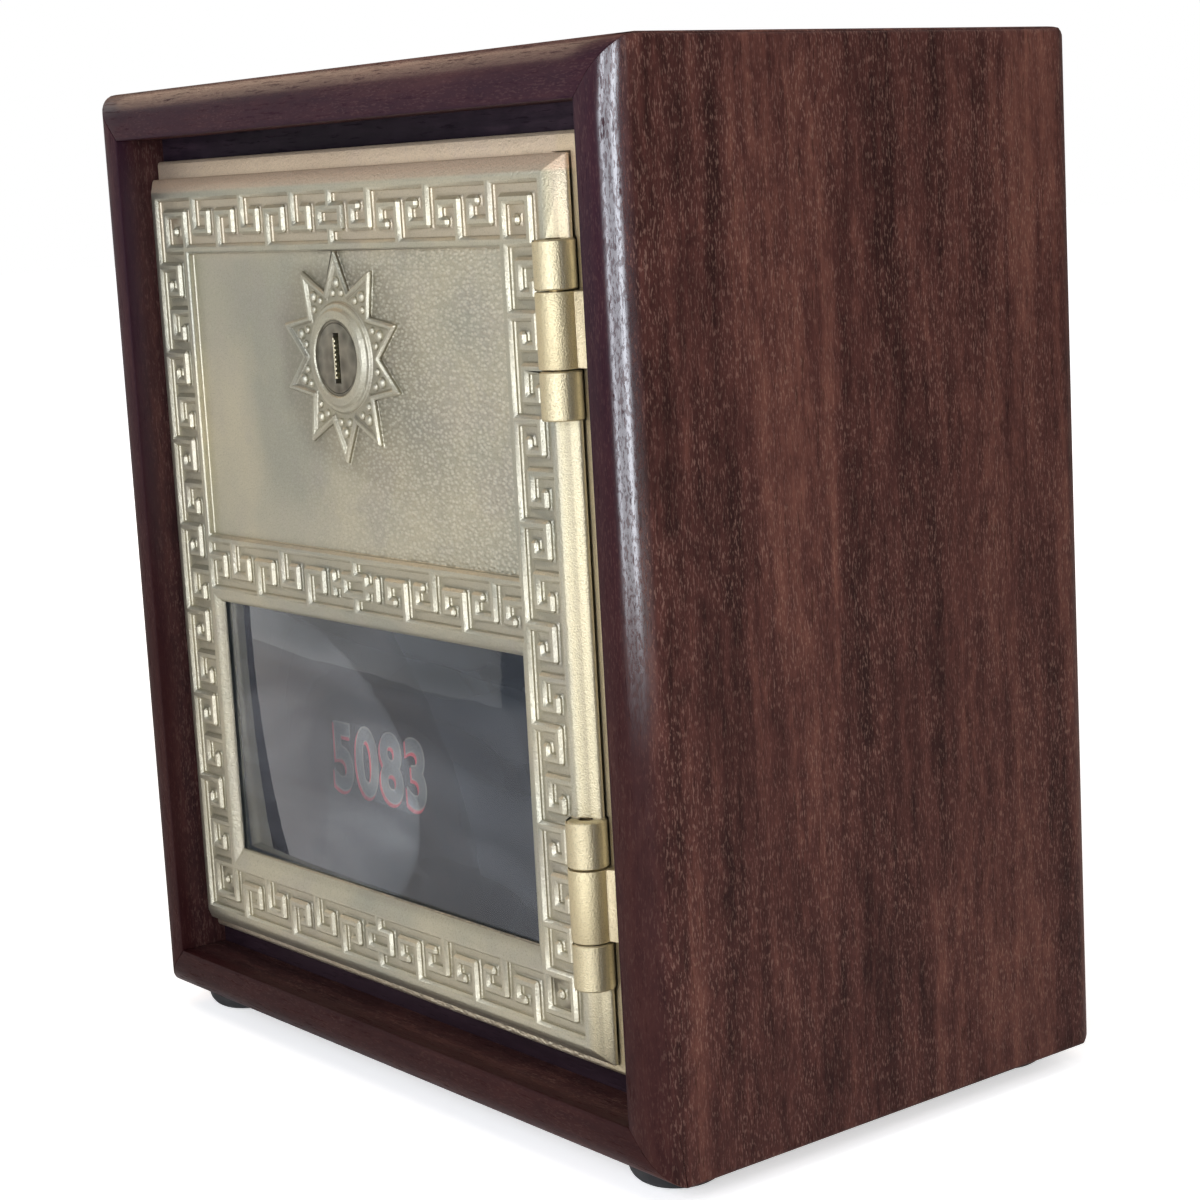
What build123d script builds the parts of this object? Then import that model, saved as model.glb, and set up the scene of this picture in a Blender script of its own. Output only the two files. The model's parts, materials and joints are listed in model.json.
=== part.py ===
from build123d import *
import os
from math import cos, hypot, pi, sin, sqrt

os.makedirs("parts", exist_ok=True)

# Millimetres. Front faces -Y, hinges at +X, +Z up, origin under the middle of the case at the feet.

# wooden case: four mitred boards
case_width = 167.0
case_depth = 106.0
case_height = 186.0
board = 9.5
edge_round = 6.4
corner_round = 1.2
coin_slot_length = 38.0
coin_slot_width = 4.8

# feet
foot_radius = 8.5
foot_height = 3.6
foot_flat_radius = 4.0
foot_inset = 13.3

# front panel, held in a groove all round
panel_thickness = 6.0
groove_depth = 3.0
groove_play = 0.25

# back panel, screwed to two cleats
back_thickness = 6.0
back_recess = 1.0
back_play = 0.3
cleat = 9.0
cleat_end_gap = 15.0
back_screw_inset = 29.0
back_screw_radius = 1.5
back_screw_head = 3.2
back_screw_cap = 0.9
back_screw_length = 13.0

# brass frame: flange and sleeve
flange_recess = 8.4
flange_thickness = 2.0
flange_gap_above = 4.5
flange_gap_below = 3.9
flange_play = 0.3
flange_edge = 0.6
sleeve_wall = 1.8
sleeve_depth = 10.0
sleeve_play = 0.4

# door outline and its fret grid
fret_columns = 71
fret_rows = 85
band = 7
fret_depth = 1.1
lip_margin_left = 0.24
lip_margin_top = 3.5
lip_margin_bottom = 2.0
hinge_strip = 11.54
bevel_width = 2.6
hinge_bevel = 3.8
face_height = 3.3
lip_gap = 0.3
lip_edge = 0.9
lip_swing_play = 0.2
body_inset = 7.9
body_inset_end = 7.0
body_play = 0.4
plate_thickness = 4.0
rib_wall = 2.0
rib_depth = 3.4

# upper panel and window, in fret rows from the top
panel_depth = 1.4
mid_band_row = 39
window_lip_side = 1.45
window_lip_top = 1.5
window_lip_bottom = 3.0
window_lip_depth = 1.2
glass_rebate_depth = 2.0
glass_overlap = 2.4
glass_play = 0.15
retainer_thickness = 1.0
retainer_width = 5.0
retainer_screw_radius = 1.0

# number on the back of the glass
number_width = 32.0
number_height = 14.7
number_drop = 1.07
number_thickness = 0.15

# hinges
barrel_radius = 3.6
axis_beyond_face = 1.25
axis_behind_face = 0.8
barrel_play = 0.25
outer_knuckle = 8.1
middle_knuckle = 12.6
knuckle_gap = 0.25
hinge_inset = 25.8
pin_radius = 1.2
pin_play = 0.05
arm_reach = 6.8
arm_height = 1.6

# lock
boss_rim = 1.8
boss_flare = 0.85
boss_height = 0.4
shell_ring = 0.55
shell_play = 0.05
shell_recess = 0.3
shell_plate_half = 24.0
shell_plate = 1.6
shell_body_wall = 1.6
shell_length = 12.8
plug_radius = 6.0
plug_play = 0.05
plug_head_lip = 0.4
plug_head = 1.0
plug_length = 13.1
keyway_width = 2.0
keyway_height = 9.2
keyway_depth = 10.8
wafer_count = 5
wafer_width = 4.4
wafer_thickness = 0.9
wafer_end_gap = 0.55
wafer_pitch = 1.9
wafer_play = 0.1
cam_margin = 0.6
cam_thickness = 1.8
cam_play = 0.3
cam_screw_radius = 1.5
cam_screw_length = 1.7
drive_radius = 5.0
drive_pin_radius = 1.2
drive_pin_length = 3.0
drive_slot_play = 0.3
bolt_thickness = 3.2
bolt_half_height = 4.0
bolt_head_height = 4.8
bolt_head_half = 5.6
bolt_tail = 9.0
bolt_tip_gap = 1.6
bolt_play = 0.2
catch_play = 0.5
catch_half = 11.0
case_half = 18.0
case_wall = 1.2
case_below = 12.2
case_above = 13.8
case_ear = 6.0
case_ear_half = 4.0
case_depth_back = 16.2
small_screw_radius = 1.0
small_screw_head = 1.9
small_screw_length = 1.8
small_screw_cap = 1.1
guide_lug_inset = 4.6
guide_lug_wall = 1.8
guide_lug_half = 7.0
guide_lug_beyond = 1.4

# star round the lock boss
star_points = 10
star_outer = 19.7
star_overlap = 0.25
star_inner = 12.6
star_height = 1.0
star_rim = 1.2
star_sink = 0.55

# screws that clamp the frame to the front panel
clamp_boss_radius = 2.2
clamp_boss_length = 5.4
clamp_hole_play = 0.2
clamp_screw_radius = 1.25
clamp_screw_head = 3.4
clamp_screw_bite = 3.2
clamp_screw_cap = 1.8
clamp_spread = 83.0
clamp_inset = 3.0

# planes that the pieces share
case_floor = foot_height
case_top = case_floor + case_height
front = -case_depth / 2
back = case_depth / 2
inner_x = case_width / 2 - board
inner_low = case_floor + board
inner_high = case_top - board
flange_x = inner_x - flange_play
flange_low = inner_low + flange_gap_below
flange_high = inner_high - flange_gap_above
flange_y = front + flange_recess
panel_front = flange_y + flange_thickness
panel_back = panel_front + panel_thickness

# door outline, and the cell size of its fret
lip_left = lip_margin_left - flange_x
lip_right = flange_x - hinge_strip
lip_low = flange_low + lip_margin_bottom
lip_high = flange_high - lip_margin_top
face_left = lip_left + bevel_width
face_right = lip_right - hinge_bevel
face_bottom = lip_low + bevel_width
face_top = lip_high - bevel_width
fret_x = (face_right - face_left) / fret_columns
fret_z = (face_top - face_bottom) / fret_rows
face_y = flange_y - face_height
lip_back = flange_y - lip_gap
plate_back = face_y + plate_thickness
door_centre_x = (face_left + face_right) / 2

# hinge axis, door body and the frame's opening
axis_x = face_right + axis_beyond_face
axis_y = face_y + axis_behind_face
hinge_heights = [face_top - hinge_inset, face_bottom + hinge_inset]
body_left = lip_left + body_inset
body_right = axis_x - axis_behind_face
body_low = lip_low + body_inset_end
body_high = lip_high - body_inset_end
hole_left = body_left - body_play
hole_right = body_right + body_play
hole_low = body_low - body_play
hole_high = body_high + body_play

# lock, from the door's face to the back of its bolt
lock_z = face_top - band * fret_z - star_outer + star_overlap
plug_head_radius = plug_radius + plug_head_lip
shell_radius = plug_head_radius + shell_ring
shell_body_radius = plug_radius + shell_body_wall
boss_radius = shell_radius + boss_rim
boss_foot_radius = boss_radius + boss_flare
wafer_length = 2 * (plug_radius - wafer_end_gap)
cam_radius = plug_radius + cam_margin
boss_y = face_y - boss_height
shell_front = boss_y + shell_recess
plug_back = shell_front + plug_length
cam_back = plug_back + cam_thickness
bolt_front = cam_back + cam_play
bolt_back = bolt_front + bolt_thickness
bolt_tip = hole_left + bolt_tip_gap
bolt_travel = drive_radius * sqrt(2)
catch_back = bolt_front - catch_play


def block(x0, x1, y0, y1, z0, z1):
    """Box between two corners."""
    return Pos((x0 + x1) / 2, (y0 + y1) / 2, (z0 + z1) / 2) * Box(x1 - x0, y1 - y0, z1 - z0)


def rod(x, z, radius, y0, y1):
    """Round bar along Y."""
    return Pos(x, (y0 + y1) / 2, z) * Rot(90, 0, 0) * Cylinder(radius, y1 - y0)


def post(x, y, radius, z0, z1):
    """Round bar along Z."""
    return Pos(x, y, (z0 + z1) / 2) * Cylinder(radius, z1 - z0)


def outline(points, y0, y1):
    """Polygon given in X and Z, as deep as y0 to y1."""
    corners = [Vector(x, y0, z) for x, z in points]
    face = Face(Wire.make_polygon(corners, close=True))
    return Solid.extrude(face, Vector(0, y1 - y0, 0))


def corners(x0, x1, z0, z1):
    return [(x0, z0), (x1, z0), (x1, z1), (x0, z1)]


def save(shape, name):
    shape.label = name
    export_step(shape, f"parts/{name}.step")


# ---- wooden case ----
whole = block(-case_width / 2, case_width / 2, front, back, case_floor, case_top)
hull = fillet(whole.edges().filter_by(Axis.Y), corner_round)
for axis in (Axis.X, Axis.Z):
    hull &= fillet(whole.edges().filter_by(axis), edge_round)
hull -= block(-inner_x, inner_x, front - 1, back + 1, inner_low, inner_high)
groove_x = inner_x + groove_depth
groove = block(-groove_x, groove_x, panel_front - groove_play / 2, panel_back + groove_play / 2,
               inner_low - groove_depth, inner_high + groove_depth)
hull -= groove
coin_slot = Pos(0, 0, inner_high + board / 2) * Box(coin_slot_length, coin_slot_width, board * 3)
hull -= fillet(coin_slot.edges().filter_by(Axis.Z), coin_slot_width / 2 - 0.05)

wide = case_width / 2 + board
deep = inner_x - board
high = case_top + board
low = case_floor - board
sheds = {
    "top_board": [(-wide, high), (wide, high), (deep, inner_high - board), (-deep, inner_high - board)],
    "bottom_board": [(-wide, low), (wide, low), (deep, inner_low + board), (-deep, inner_low + board)],
    "left_board": [(-wide, low), (-deep, inner_low + board), (-deep, inner_high - board), (-wide, high)],
    "right_board": [(wide, low), (deep, inner_low + board), (deep, inner_high - board), (wide, high)],
}
for name, points in sheds.items():
    save(hull & outline(points, front - 2, back + 2), name)

foot_x = case_width / 2 - foot_inset
foot_y = case_depth / 2 - foot_inset
for name, sx, sy in (("front_left_foot", -1, -1), ("front_right_foot", 1, -1),
                     ("rear_left_foot", -1, 1), ("rear_right_foot", 1, 1)):
    dome = make_face([Line((0, 0), (foot_flat_radius, 0)),
                      TangentArc((foot_flat_radius, 0), (foot_radius, foot_height), tangent=(1, 0)),
                      Line((foot_radius, foot_height), (0, foot_height)),
                      Line((0, foot_height), (0, 0))])
    foot = revolve(Plane.XZ * dome, Axis.Z)
    save(Pos(sx * foot_x, sy * foot_y, 0) * foot, name)

# ---- front panel ----
panel_x = groove_x - groove_play
front_panel = block(-panel_x, panel_x, panel_front, panel_back,
                    inner_low - groove_depth + groove_play, inner_high + groove_depth - groove_play)
front_panel -= block(hole_left - sleeve_wall - sleeve_play, hole_right + sleeve_wall + sleeve_play,
                     panel_front - 1, panel_back + 1,
                     hole_low - sleeve_wall - sleeve_play, hole_high + sleeve_wall + sleeve_play)
hole_mid = (hole_left + hole_right) / 2
clamp_x = (hole_mid - clamp_spread / 2, hole_mid + clamp_spread / 2)
clamp_points = [(x, z) for x in clamp_x for z in (flange_low + clamp_inset, flange_high - clamp_inset)]
for x, z in clamp_points:
    front_panel -= rod(x, z, clamp_boss_radius + clamp_hole_play, panel_front - 1, panel_back + 1)
save(front_panel, "front_panel")

# ---- back panel and cleats ----
back_face = back - back_recess
back_front = back_face - back_thickness
back_panel = block(-inner_x + back_play, inner_x - back_play, back_front, back_face,
                   inner_low + back_play, inner_high - back_play)
cleats = {"top_cleat": (inner_high - cleat, inner_high), "bottom_cleat": (inner_low, inner_low + cleat)}
back_screws = []
for name, (z0, z1) in cleats.items():
    bar = block(-inner_x + cleat_end_gap, inner_x - cleat_end_gap, back_front - cleat, back_front, z0, z1)
    for x in (back_screw_inset - inner_x, inner_x - back_screw_inset):
        z = (z0 + z1) / 2
        shank = rod(x, z, back_screw_radius, back_face - back_screw_length, back_face)
        back_screws.append(shank + rod(x, z, back_screw_head, back_face, back_face + back_screw_cap))
        bar -= shank
        back_panel -= shank
    save(bar, name)
save(back_panel, "back_panel")
save(Compound(children=back_screws), "back_screws")

# ---- brass frame ----
frame = block(-flange_x, flange_x, flange_y, panel_front, flange_low, flange_high)
frame = chamfer(frame.faces().sort_by(Axis.Y)[0].edges(), flange_edge)
frame += block(hole_left - sleeve_wall, hole_right + sleeve_wall, panel_front - 0.5, flange_y + sleeve_depth,
               hole_low - sleeve_wall, hole_high + sleeve_wall)
# catch: the part of the sleeve's left wall that the thrown bolt stands behind
frame += block(hole_left - sleeve_wall, hole_left + 0.5, panel_front - 0.5, catch_back,
               lock_z - catch_half, lock_z + catch_half)
frame -= block(hole_left, hole_right, flange_y - 5, catch_back + 5, hole_low, hole_high)
# groove that lets the lip's hinge corner and the outer knuckles turn in front of the flange
corner_swing = hypot(lip_right - axis_x, lip_back - axis_y) + lip_swing_play
groove = post(axis_x, axis_y, corner_swing, lip_low - lip_swing_play, lip_high + lip_swing_play)
for height in hinge_heights:
    reach = middle_knuckle / 2 + outer_knuckle + 2 * knuckle_gap
    groove += post(axis_x, axis_y, barrel_radius + barrel_play, height - reach, height + reach)
    groove -= post(axis_x, axis_y, 2 * barrel_radius, height - middle_knuckle / 2, height + middle_knuckle / 2)
frame -= groove
for x, z in clamp_points:
    frame += rod(x, z, clamp_boss_radius, panel_front - 0.5, panel_front + clamp_boss_length)
    frame -= rod(x, z, clamp_screw_radius, panel_front + clamp_boss_length - clamp_screw_bite - 0.4,
                 panel_front + clamp_boss_length + 1)

# middle knuckles, each with a sloping foot on the flange
arm_profile = [(axis_x, flange_y - arm_height), (axis_x + barrel_radius, flange_y - arm_height),
               (axis_x + arm_reach, flange_y), (axis_x + arm_reach, flange_y + 0.8), (axis_x, flange_y + 0.8)]
for height in hinge_heights:
    z0 = height - middle_knuckle / 2
    z1 = height + middle_knuckle / 2
    web = Face(Wire.make_polygon([Vector(x, y, z0) for x, y in arm_profile], close=True))
    knuckle = post(axis_x, axis_y, barrel_radius, z0, z1) + Solid.extrude(web, Vector(0, 0, z1 - z0))
    frame += knuckle
    frame -= post(axis_x, axis_y, pin_radius + pin_play, z0 - 1, z1 + 1)
save(frame, "door_frame")

clamp_screws = []
for x, z in clamp_points:
    boss_end = panel_front + clamp_boss_length
    screw = rod(x, z, clamp_screw_radius, boss_end - clamp_screw_bite, panel_back)
    clamp_screws.append(screw + rod(x, z, clamp_screw_head, panel_back, panel_back + clamp_screw_cap))
save(Compound(children=clamp_screws), "frame_screws")

# ---- door casting ----

def rectangle(x0, x1, z0, z1, y):
    points = [Vector(x, y, z) for x, z in corners(x0, x1, z0, z1)]
    return Wire.make_polygon(points, close=True)


door = block(lip_left, lip_right, lip_back - lip_edge, lip_back, lip_low, lip_high)
door += Solid.make_loft([rectangle(lip_left, lip_right, lip_low, lip_high, lip_back - lip_edge),
                         rectangle(face_left, face_right, face_bottom, face_top, face_y)], True)
door += block(body_left, body_right, lip_back - 0.5, plate_back + rib_depth, body_low, body_high)
door -= block(body_left + rib_wall, body_right - rib_wall, plate_back, plate_back + rib_depth + 1,
              body_low + rib_wall, body_high - rib_wall)


def column(c):
    return face_left + c * fret_x


def row(r):
    return face_top - r * fret_z


def cells(c0, r0, c1, r1):
    """Corner points of a run of fret cells, both ends included."""
    return corners(column(c0), column(c1 + 1), row(r1 + 1), row(r0))


def spiral(start, first, along_x, from_far_rail, flip):
    """One key of four by four cells, hung from a rail by its stem, as an outline of cell corners.
    start is its first cell along the band and first the band's own first cell across."""
    path = [(4, 1), (4, 5), (0, 5), (0, 2), (2, 2), (2, 3), (1, 3), (1, 4), (3, 4), (3, 1)]
    points = []
    for s, t in path:
        along = start + (4 - s if flip else s)
        across = first + (band - t if from_far_rail else t)
        points.append((column(along), row(across)) if along_x else (column(across), row(along)))
    return points


middle = fret_columns // 2
keys = []
# the top, bottom and middle bands mirror about the centre line
for first, stem_far in ((0, False), (fret_rows - band, True)):
    for k in range(5):
        inner = middle + 4 + 5 * k
        keys.append(spiral(inner, first, True, (k % 2 == 0) == stem_far, False))
        keys.append(spiral(fret_columns - inner - 4, first, True, (k % 2 == 0) == stem_far, True))
for k in range(5):
    inner = middle + 6 + 5 * k
    keys.append(spiral(inner, mid_band_row, True, k % 2 == 0, False))
    keys.append(spiral(fret_columns - inner - 4, mid_band_row, True, k % 2 == 0, True))
# the side bands run the same way from top to bottom
for k in range(14):
    keys.append(spiral(8 + 5 * k, 0, False, k % 2 == 1, True))
    keys.append(spiral(8 + 5 * k, fret_columns - band, False, k % 2 == 0, True))


def ring(c0, r0):
    outer = Face(Wire.make_polygon([Vector(x, face_y, z) for x, z in cells(c0, r0, c0 + 4, r0 + 4)], close=True))
    inner = Face(Wire.make_polygon([Vector(x, face_y, z) for x, z in cells(c0 + 1, r0 + 1, c0 + 3, r0 + 3)],
                                   close=True))
    return outer - inner


def flat(points):
    return Face(Wire.make_polygon([Vector(x, face_y, z) for x, z in points], close=True))


far_c = fret_columns - band
far_r = fret_rows - band
ridges = [flat(points) for points in keys]
for c in (2, far_c):
    for r in (2, far_r):
        ridges.append(ring(c, r))
        ridges.append(flat(cells(c + 2, r + 2, c + 2, r + 2)))
for r, width in ((0, 0), (far_r, 0), (mid_band_row, 4)):
    centre = [flat(cells(middle - 2, r + 2, middle + 2, r + 2)), flat(cells(middle - 2, r + 4, middle + 2, r + 4)),
              flat(cells(middle - 2, r + 3, middle - 2, r + 3)), flat(cells(middle + 2, r + 3, middle + 2, r + 3)),
              flat(cells(middle, r + 1, middle, r + 1)), flat(cells(middle, r + 5, middle, r + 5))]
    if width:
        centre += [flat(cells(middle - 3, r + 3, middle - 3, r + 3)),
                   flat(cells(middle + 3, r + 3, middle + 3, r + 3)),
                   flat(cells(middle - 4, r + 2, middle - 4, r + 4)),
                   flat(cells(middle + 4, r + 2, middle + 4, r + 4))]
    ridges += centre
# rails on the inner side of the bands
ridges += [flat(cells(band - 1, band - 1, band - 1, far_r)), flat(cells(far_c, band - 1, far_c, far_r)),
           flat(cells(band - 1, band - 1, far_c, band - 1)), flat(cells(band - 1, far_r, far_c, far_r)),
           flat(cells(band - 1, mid_band_row, far_c, mid_band_row)),
           flat(cells(band - 1, mid_band_row + band - 1, far_c, mid_band_row + band - 1))]

# upper panel
door -= outline(cells(band, band, far_c - 1, mid_band_row - 1), face_y - 1, face_y + panel_depth)

# window: sloping lip, opening and the glass rebate behind it
zone = cells(band, mid_band_row + band, far_c - 1, far_r - 1)
zone_left, zone_low = zone[0]
zone_right, zone_high = zone[2]
sight_left = zone_left + window_lip_side
sight_right = zone_right - window_lip_side
sight_low = zone_low + window_lip_bottom
sight_high = zone_high - window_lip_top
door -= Solid.make_loft([rectangle(zone_left, zone_right, zone_low, zone_high, face_y),
                         rectangle(sight_left, sight_right, sight_low, sight_high,
                                   face_y + window_lip_depth)], True)
door -= block(sight_left, sight_right, face_y - 1, plate_back + 1, sight_low, sight_high)
rebate_y = face_y + glass_rebate_depth
door -= block(sight_left - glass_overlap, sight_right + glass_overlap, rebate_y, plate_back + 1,
              sight_low - glass_overlap, sight_high + glass_overlap)

# star with a raised rim, and the lock boss
star_floor = face_y + panel_depth


def star(outer, inner):
    pts = []
    for i in range(2 * star_points):
        radius = outer if i % 2 == 0 else inner
        ray = Vector(0, radius).rotate(Axis.Z, 180 * i / star_points)
        pts.append((door_centre_x + ray.X, lock_z + ray.Y))
    return pts


door += outline(star(star_outer, star_inner), star_floor - star_height, star_floor + 0.3)
half_point = pi / star_points
edge = hypot(star_inner * sin(half_point), star_outer - star_inner * cos(half_point))
tip_back = star_rim * edge / (star_inner * sin(half_point))
valley_back = star_rim * edge / (star_outer * sin(half_point))
hollow = outline(star(star_outer - tip_back, star_inner - valley_back),
                 star_floor - star_height - 1, star_floor - star_height + star_sink)
hollow -= rod(door_centre_x, lock_z, boss_foot_radius + 0.6, star_floor - 4, star_floor + 4)
door -= hollow
boss = Pos(door_centre_x, (boss_y + star_floor) / 2, lock_z) * Rot(90, 0, 0) * Cone(
    boss_foot_radius, boss_radius, star_floor - boss_y)
door += boss
door -= rod(door_centre_x, lock_z, shell_radius + shell_play, boss_y - 1, plate_back + 1)

# guide lug for the bolt
lug_left = bolt_tip + guide_lug_inset
door += block(lug_left, lug_left + guide_lug_wall, plate_back - 0.5, bolt_back + guide_lug_beyond,
              lock_z - guide_lug_half, lock_z + guide_lug_half)
door -= block(lug_left - 1, lug_left + guide_lug_wall + 1, bolt_front - bolt_play, bolt_back + bolt_play,
              lock_z - bolt_half_height - bolt_play, lock_z + bolt_half_height + bolt_play)

# blind screw holes in the door's back
case_low = lock_z - case_below
case_high = lock_z + case_above
ear_x = case_half + case_ear / 2
case_points = [(door_centre_x - ear_x, lock_z), (door_centre_x + ear_x, lock_z)]
glass_back = plate_back
hold_x = (sight_left - retainer_width + 1.4, sight_right + retainer_width - 1.4)
retainer_points = [(x, (sight_low + sight_high) / 2) for x in hold_x]
for x, z in case_points + retainer_points:
    door -= rod(x, z, small_screw_radius, plate_back - small_screw_length - 0.2, plate_back + 1)

# fret floor, one cut
fields = [cells(1, 1, fret_columns - 2, band - 2), cells(1, far_r + 1, fret_columns - 2, fret_rows - 2),
          cells(1, 1, band - 2, fret_rows - 2), cells(far_c + 1, 1, fret_columns - 2, fret_rows - 2),
          cells(band - 1, mid_band_row + 1, far_c, mid_band_row + band - 2)]
field = flat(fields[0]).fuse(*[flat(points) for points in fields[1:]]).clean()
floor = field.cut(*ridges)
door = door.cut(*[Solid.extrude(face, Vector(0, fret_depth, 0)) for face in floor.faces()])

# hinge knuckles, with room cut for the frame's middle ones
for height in hinge_heights:
    reach = middle_knuckle / 2 + knuckle_gap
    door -= post(axis_x, axis_y, barrel_radius + 0.35, height - reach, height + reach)
    door -= block(axis_x, axis_x + 8, face_y - 5, plate_back + rib_depth + 1, height - reach, height + reach)
    for side in (-1, 1):
        z0 = height + side * reach
        z1 = height + side * (reach + outer_knuckle)
        door += post(axis_x, axis_y, barrel_radius, min(z0, z1), max(z0, z1))
        door -= post(axis_x, axis_y, pin_radius + pin_play, min(z0, z1), max(z0, z1))
save(door, "door_casting")

# ---- hinge pins ----
for name, height in zip(("upper_hinge_pin", "lower_hinge_pin"), hinge_heights):
    half = middle_knuckle / 2 + knuckle_gap + outer_knuckle - 0.3
    save(post(axis_x, axis_y, pin_radius, height - half, height + half), name)

# ---- glass, its retainer and the number ----
spread = glass_overlap - glass_play
glass = block(sight_left - spread, sight_right + spread, rebate_y, glass_back,
              sight_low - spread, sight_high + spread)
save(glass, "window_glass")
retainer = block(sight_left - retainer_width, sight_right + retainer_width, plate_back,
                 plate_back + retainer_thickness, sight_low - retainer_width, sight_high + retainer_width)
retainer -= block(sight_left, sight_right, plate_back - 1, plate_back + 3, sight_low, sight_high)
retainer_screws = []
for x, z in retainer_points:
    head = plate_back + retainer_thickness
    screw = rod(x, z, retainer_screw_radius, plate_back - small_screw_length, head)
    screw += rod(x, z, small_screw_head, head, head + small_screw_cap)
    retainer -= rod(x, z, retainer_screw_radius + 0.1, plate_back - 1, head + 1)
    retainer_screws.append(screw)
save(retainer, "glass_retainer")
save(Compound(children=retainer_screws), "retainer_screws")
number_centre_z = (sight_low + sight_high) / 2 - number_drop
number = block(door_centre_x - number_width / 2, door_centre_x + number_width / 2, glass_back,
               glass_back + number_thickness, number_centre_z - number_height / 2,
               number_centre_z + number_height / 2)
save(number, "number_transfer")

# ---- lock shell, plug and wafers ----
shell = rod(door_centre_x, lock_z, shell_radius, shell_front, plate_back)
plate_end = plate_back + shell_plate
shell += block(door_centre_x - shell_plate_half, door_centre_x + shell_plate_half, plate_back, plate_end,
               case_low, case_high)
shell += rod(door_centre_x, lock_z, shell_body_radius, plate_back, shell_front + shell_length)
shell -= rod(door_centre_x, lock_z, plug_radius + plug_play, shell_front - 1, shell_front + shell_length + 1)
shell -= rod(door_centre_x, lock_z, plug_head_radius + plug_play, shell_front - 1,
             shell_front + plug_head + plug_play)
for x, z in case_points:
    shell -= rod(x, z, small_screw_radius + 0.1, plate_back - 1, plate_end + 1)
shell -= block(door_centre_x - 1.2, door_centre_x + 1.2, shell_front + 2.6, shell_front + shell_length - 0.6,
               lock_z + plug_radius, lock_z + plug_radius + 0.8)
save(shell, "lock_shell")

plug = rod(door_centre_x, lock_z, plug_radius, shell_front, plug_back)
plug += rod(door_centre_x, lock_z, plug_head_radius, shell_front, shell_front + plug_head)
plug -= block(door_centre_x - keyway_width / 2, door_centre_x + keyway_width / 2, shell_front - 1,
              shell_front + keyway_depth, lock_z - keyway_height / 2, lock_z + keyway_height / 2)
plug -= rod(door_centre_x, lock_z, cam_screw_radius, plug_back - 1.2, plug_back + 1)
wafers = []
for k in range(wafer_count):
    y = shell_front + plug_head + 1.2 + k * wafer_pitch
    half = wafer_width / 2
    slot = half + wafer_play
    plug -= block(door_centre_x - slot, door_centre_x + slot, y - wafer_play, y + wafer_thickness + wafer_play,
                  lock_z - plug_radius - 1, lock_z + plug_radius + 1)
    wafer = block(door_centre_x - half, door_centre_x + half, y, y + wafer_thickness,
                  lock_z - wafer_length / 2, lock_z + wafer_length / 2)
    lift = (0.5, -0.7, 0.2, -0.3, 0.7)[k % 5]
    wafer -= block(door_centre_x - 1.2, door_centre_x + 1.2, y - 1, y + 2, lock_z - 3.2 + lift,
                   lock_z + 3.2 + lift)
    wafers.append(wafer)
save(plug, "lock_plug")
save(Compound(children=wafers), "lock_wafers")

# ---- cam, drive pin and bolt ----
pin_x = door_centre_x + drive_radius / sqrt(2)
pin_z = lock_z + drive_radius / sqrt(2)
cam = rod(door_centre_x, lock_z, cam_radius, plug_back, cam_back)
cam += rod(pin_x, pin_z, drive_pin_radius, cam_back - 0.5, cam_back + drive_pin_length)
head_depth = 1.2
cam_screw = rod(door_centre_x, lock_z, cam_screw_radius, cam_back - cam_thickness - 1.1, cam_back)
cam_screw += Pos(door_centre_x, cam_back - head_depth / 2, lock_z) * Rot(-90, 0, 0) * Cone(
    cam_screw_radius, cam_screw_radius + head_depth, head_depth)
cam -= cam_screw
save(cam, "plug_cam")
save(cam_screw, "cam_screw")

bolt = block(bolt_tip, door_centre_x + bolt_tail, bolt_front, bolt_back,
             lock_z - bolt_half_height, lock_z + bolt_half_height)
bolt = chamfer(bolt.edges().filter_by(Axis.Z).sort_by(Axis.X)[:2], 0.8)
bolt += block(pin_x - bolt_head_half, pin_x + bolt_head_half, bolt_front, bolt_back,
              lock_z - bolt_half_height, lock_z + bolt_half_height + bolt_head_height)
slot_half = drive_pin_radius + drive_slot_play
bolt -= block(pin_x - slot_half, pin_x + slot_half, bolt_front - 1, bolt_back + 1,
              pin_z - slot_half, lock_z + drive_radius + slot_half)
save(bolt, "lock_bolt")

# ---- lock case ----
cover_back = plate_back + case_depth_back
cover = block(door_centre_x - case_half, door_centre_x + case_half, plate_end, cover_back, case_low, case_high)
cover -= block(door_centre_x - case_half + case_wall, door_centre_x + case_half - case_wall, plate_end - 1,
               cover_back - case_wall, case_low + case_wall, case_high - case_wall)
case_screws = []
for x, z in case_points:
    head = plate_end + case_wall
    outer_x = x + (case_ear / 2 if x > door_centre_x else -case_ear / 2)
    inner_edge = door_centre_x + (case_half - 0.5 if x > door_centre_x else 0.5 - case_half)
    cover += block(min(outer_x, inner_edge), max(outer_x, inner_edge), plate_end, head,
                   z - case_ear_half, z + case_ear_half)
    cover -= rod(x, z, small_screw_radius + 0.1, plate_end - 1, head + 1)
    screw = rod(x, z, small_screw_radius, plate_back - small_screw_length, head)
    case_screws.append(screw + rod(x, z, small_screw_head, head, head + small_screw_cap))
cover -= block(door_centre_x - case_half - 1, door_centre_x - case_half + case_wall + 1,
               bolt_front - bolt_play, bolt_back + bolt_play,
               lock_z - bolt_half_height - bolt_play, lock_z + bolt_half_height + bolt_play)
save(cover, "lock_case")
save(Compound(children=case_screws), "case_screws")

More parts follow.
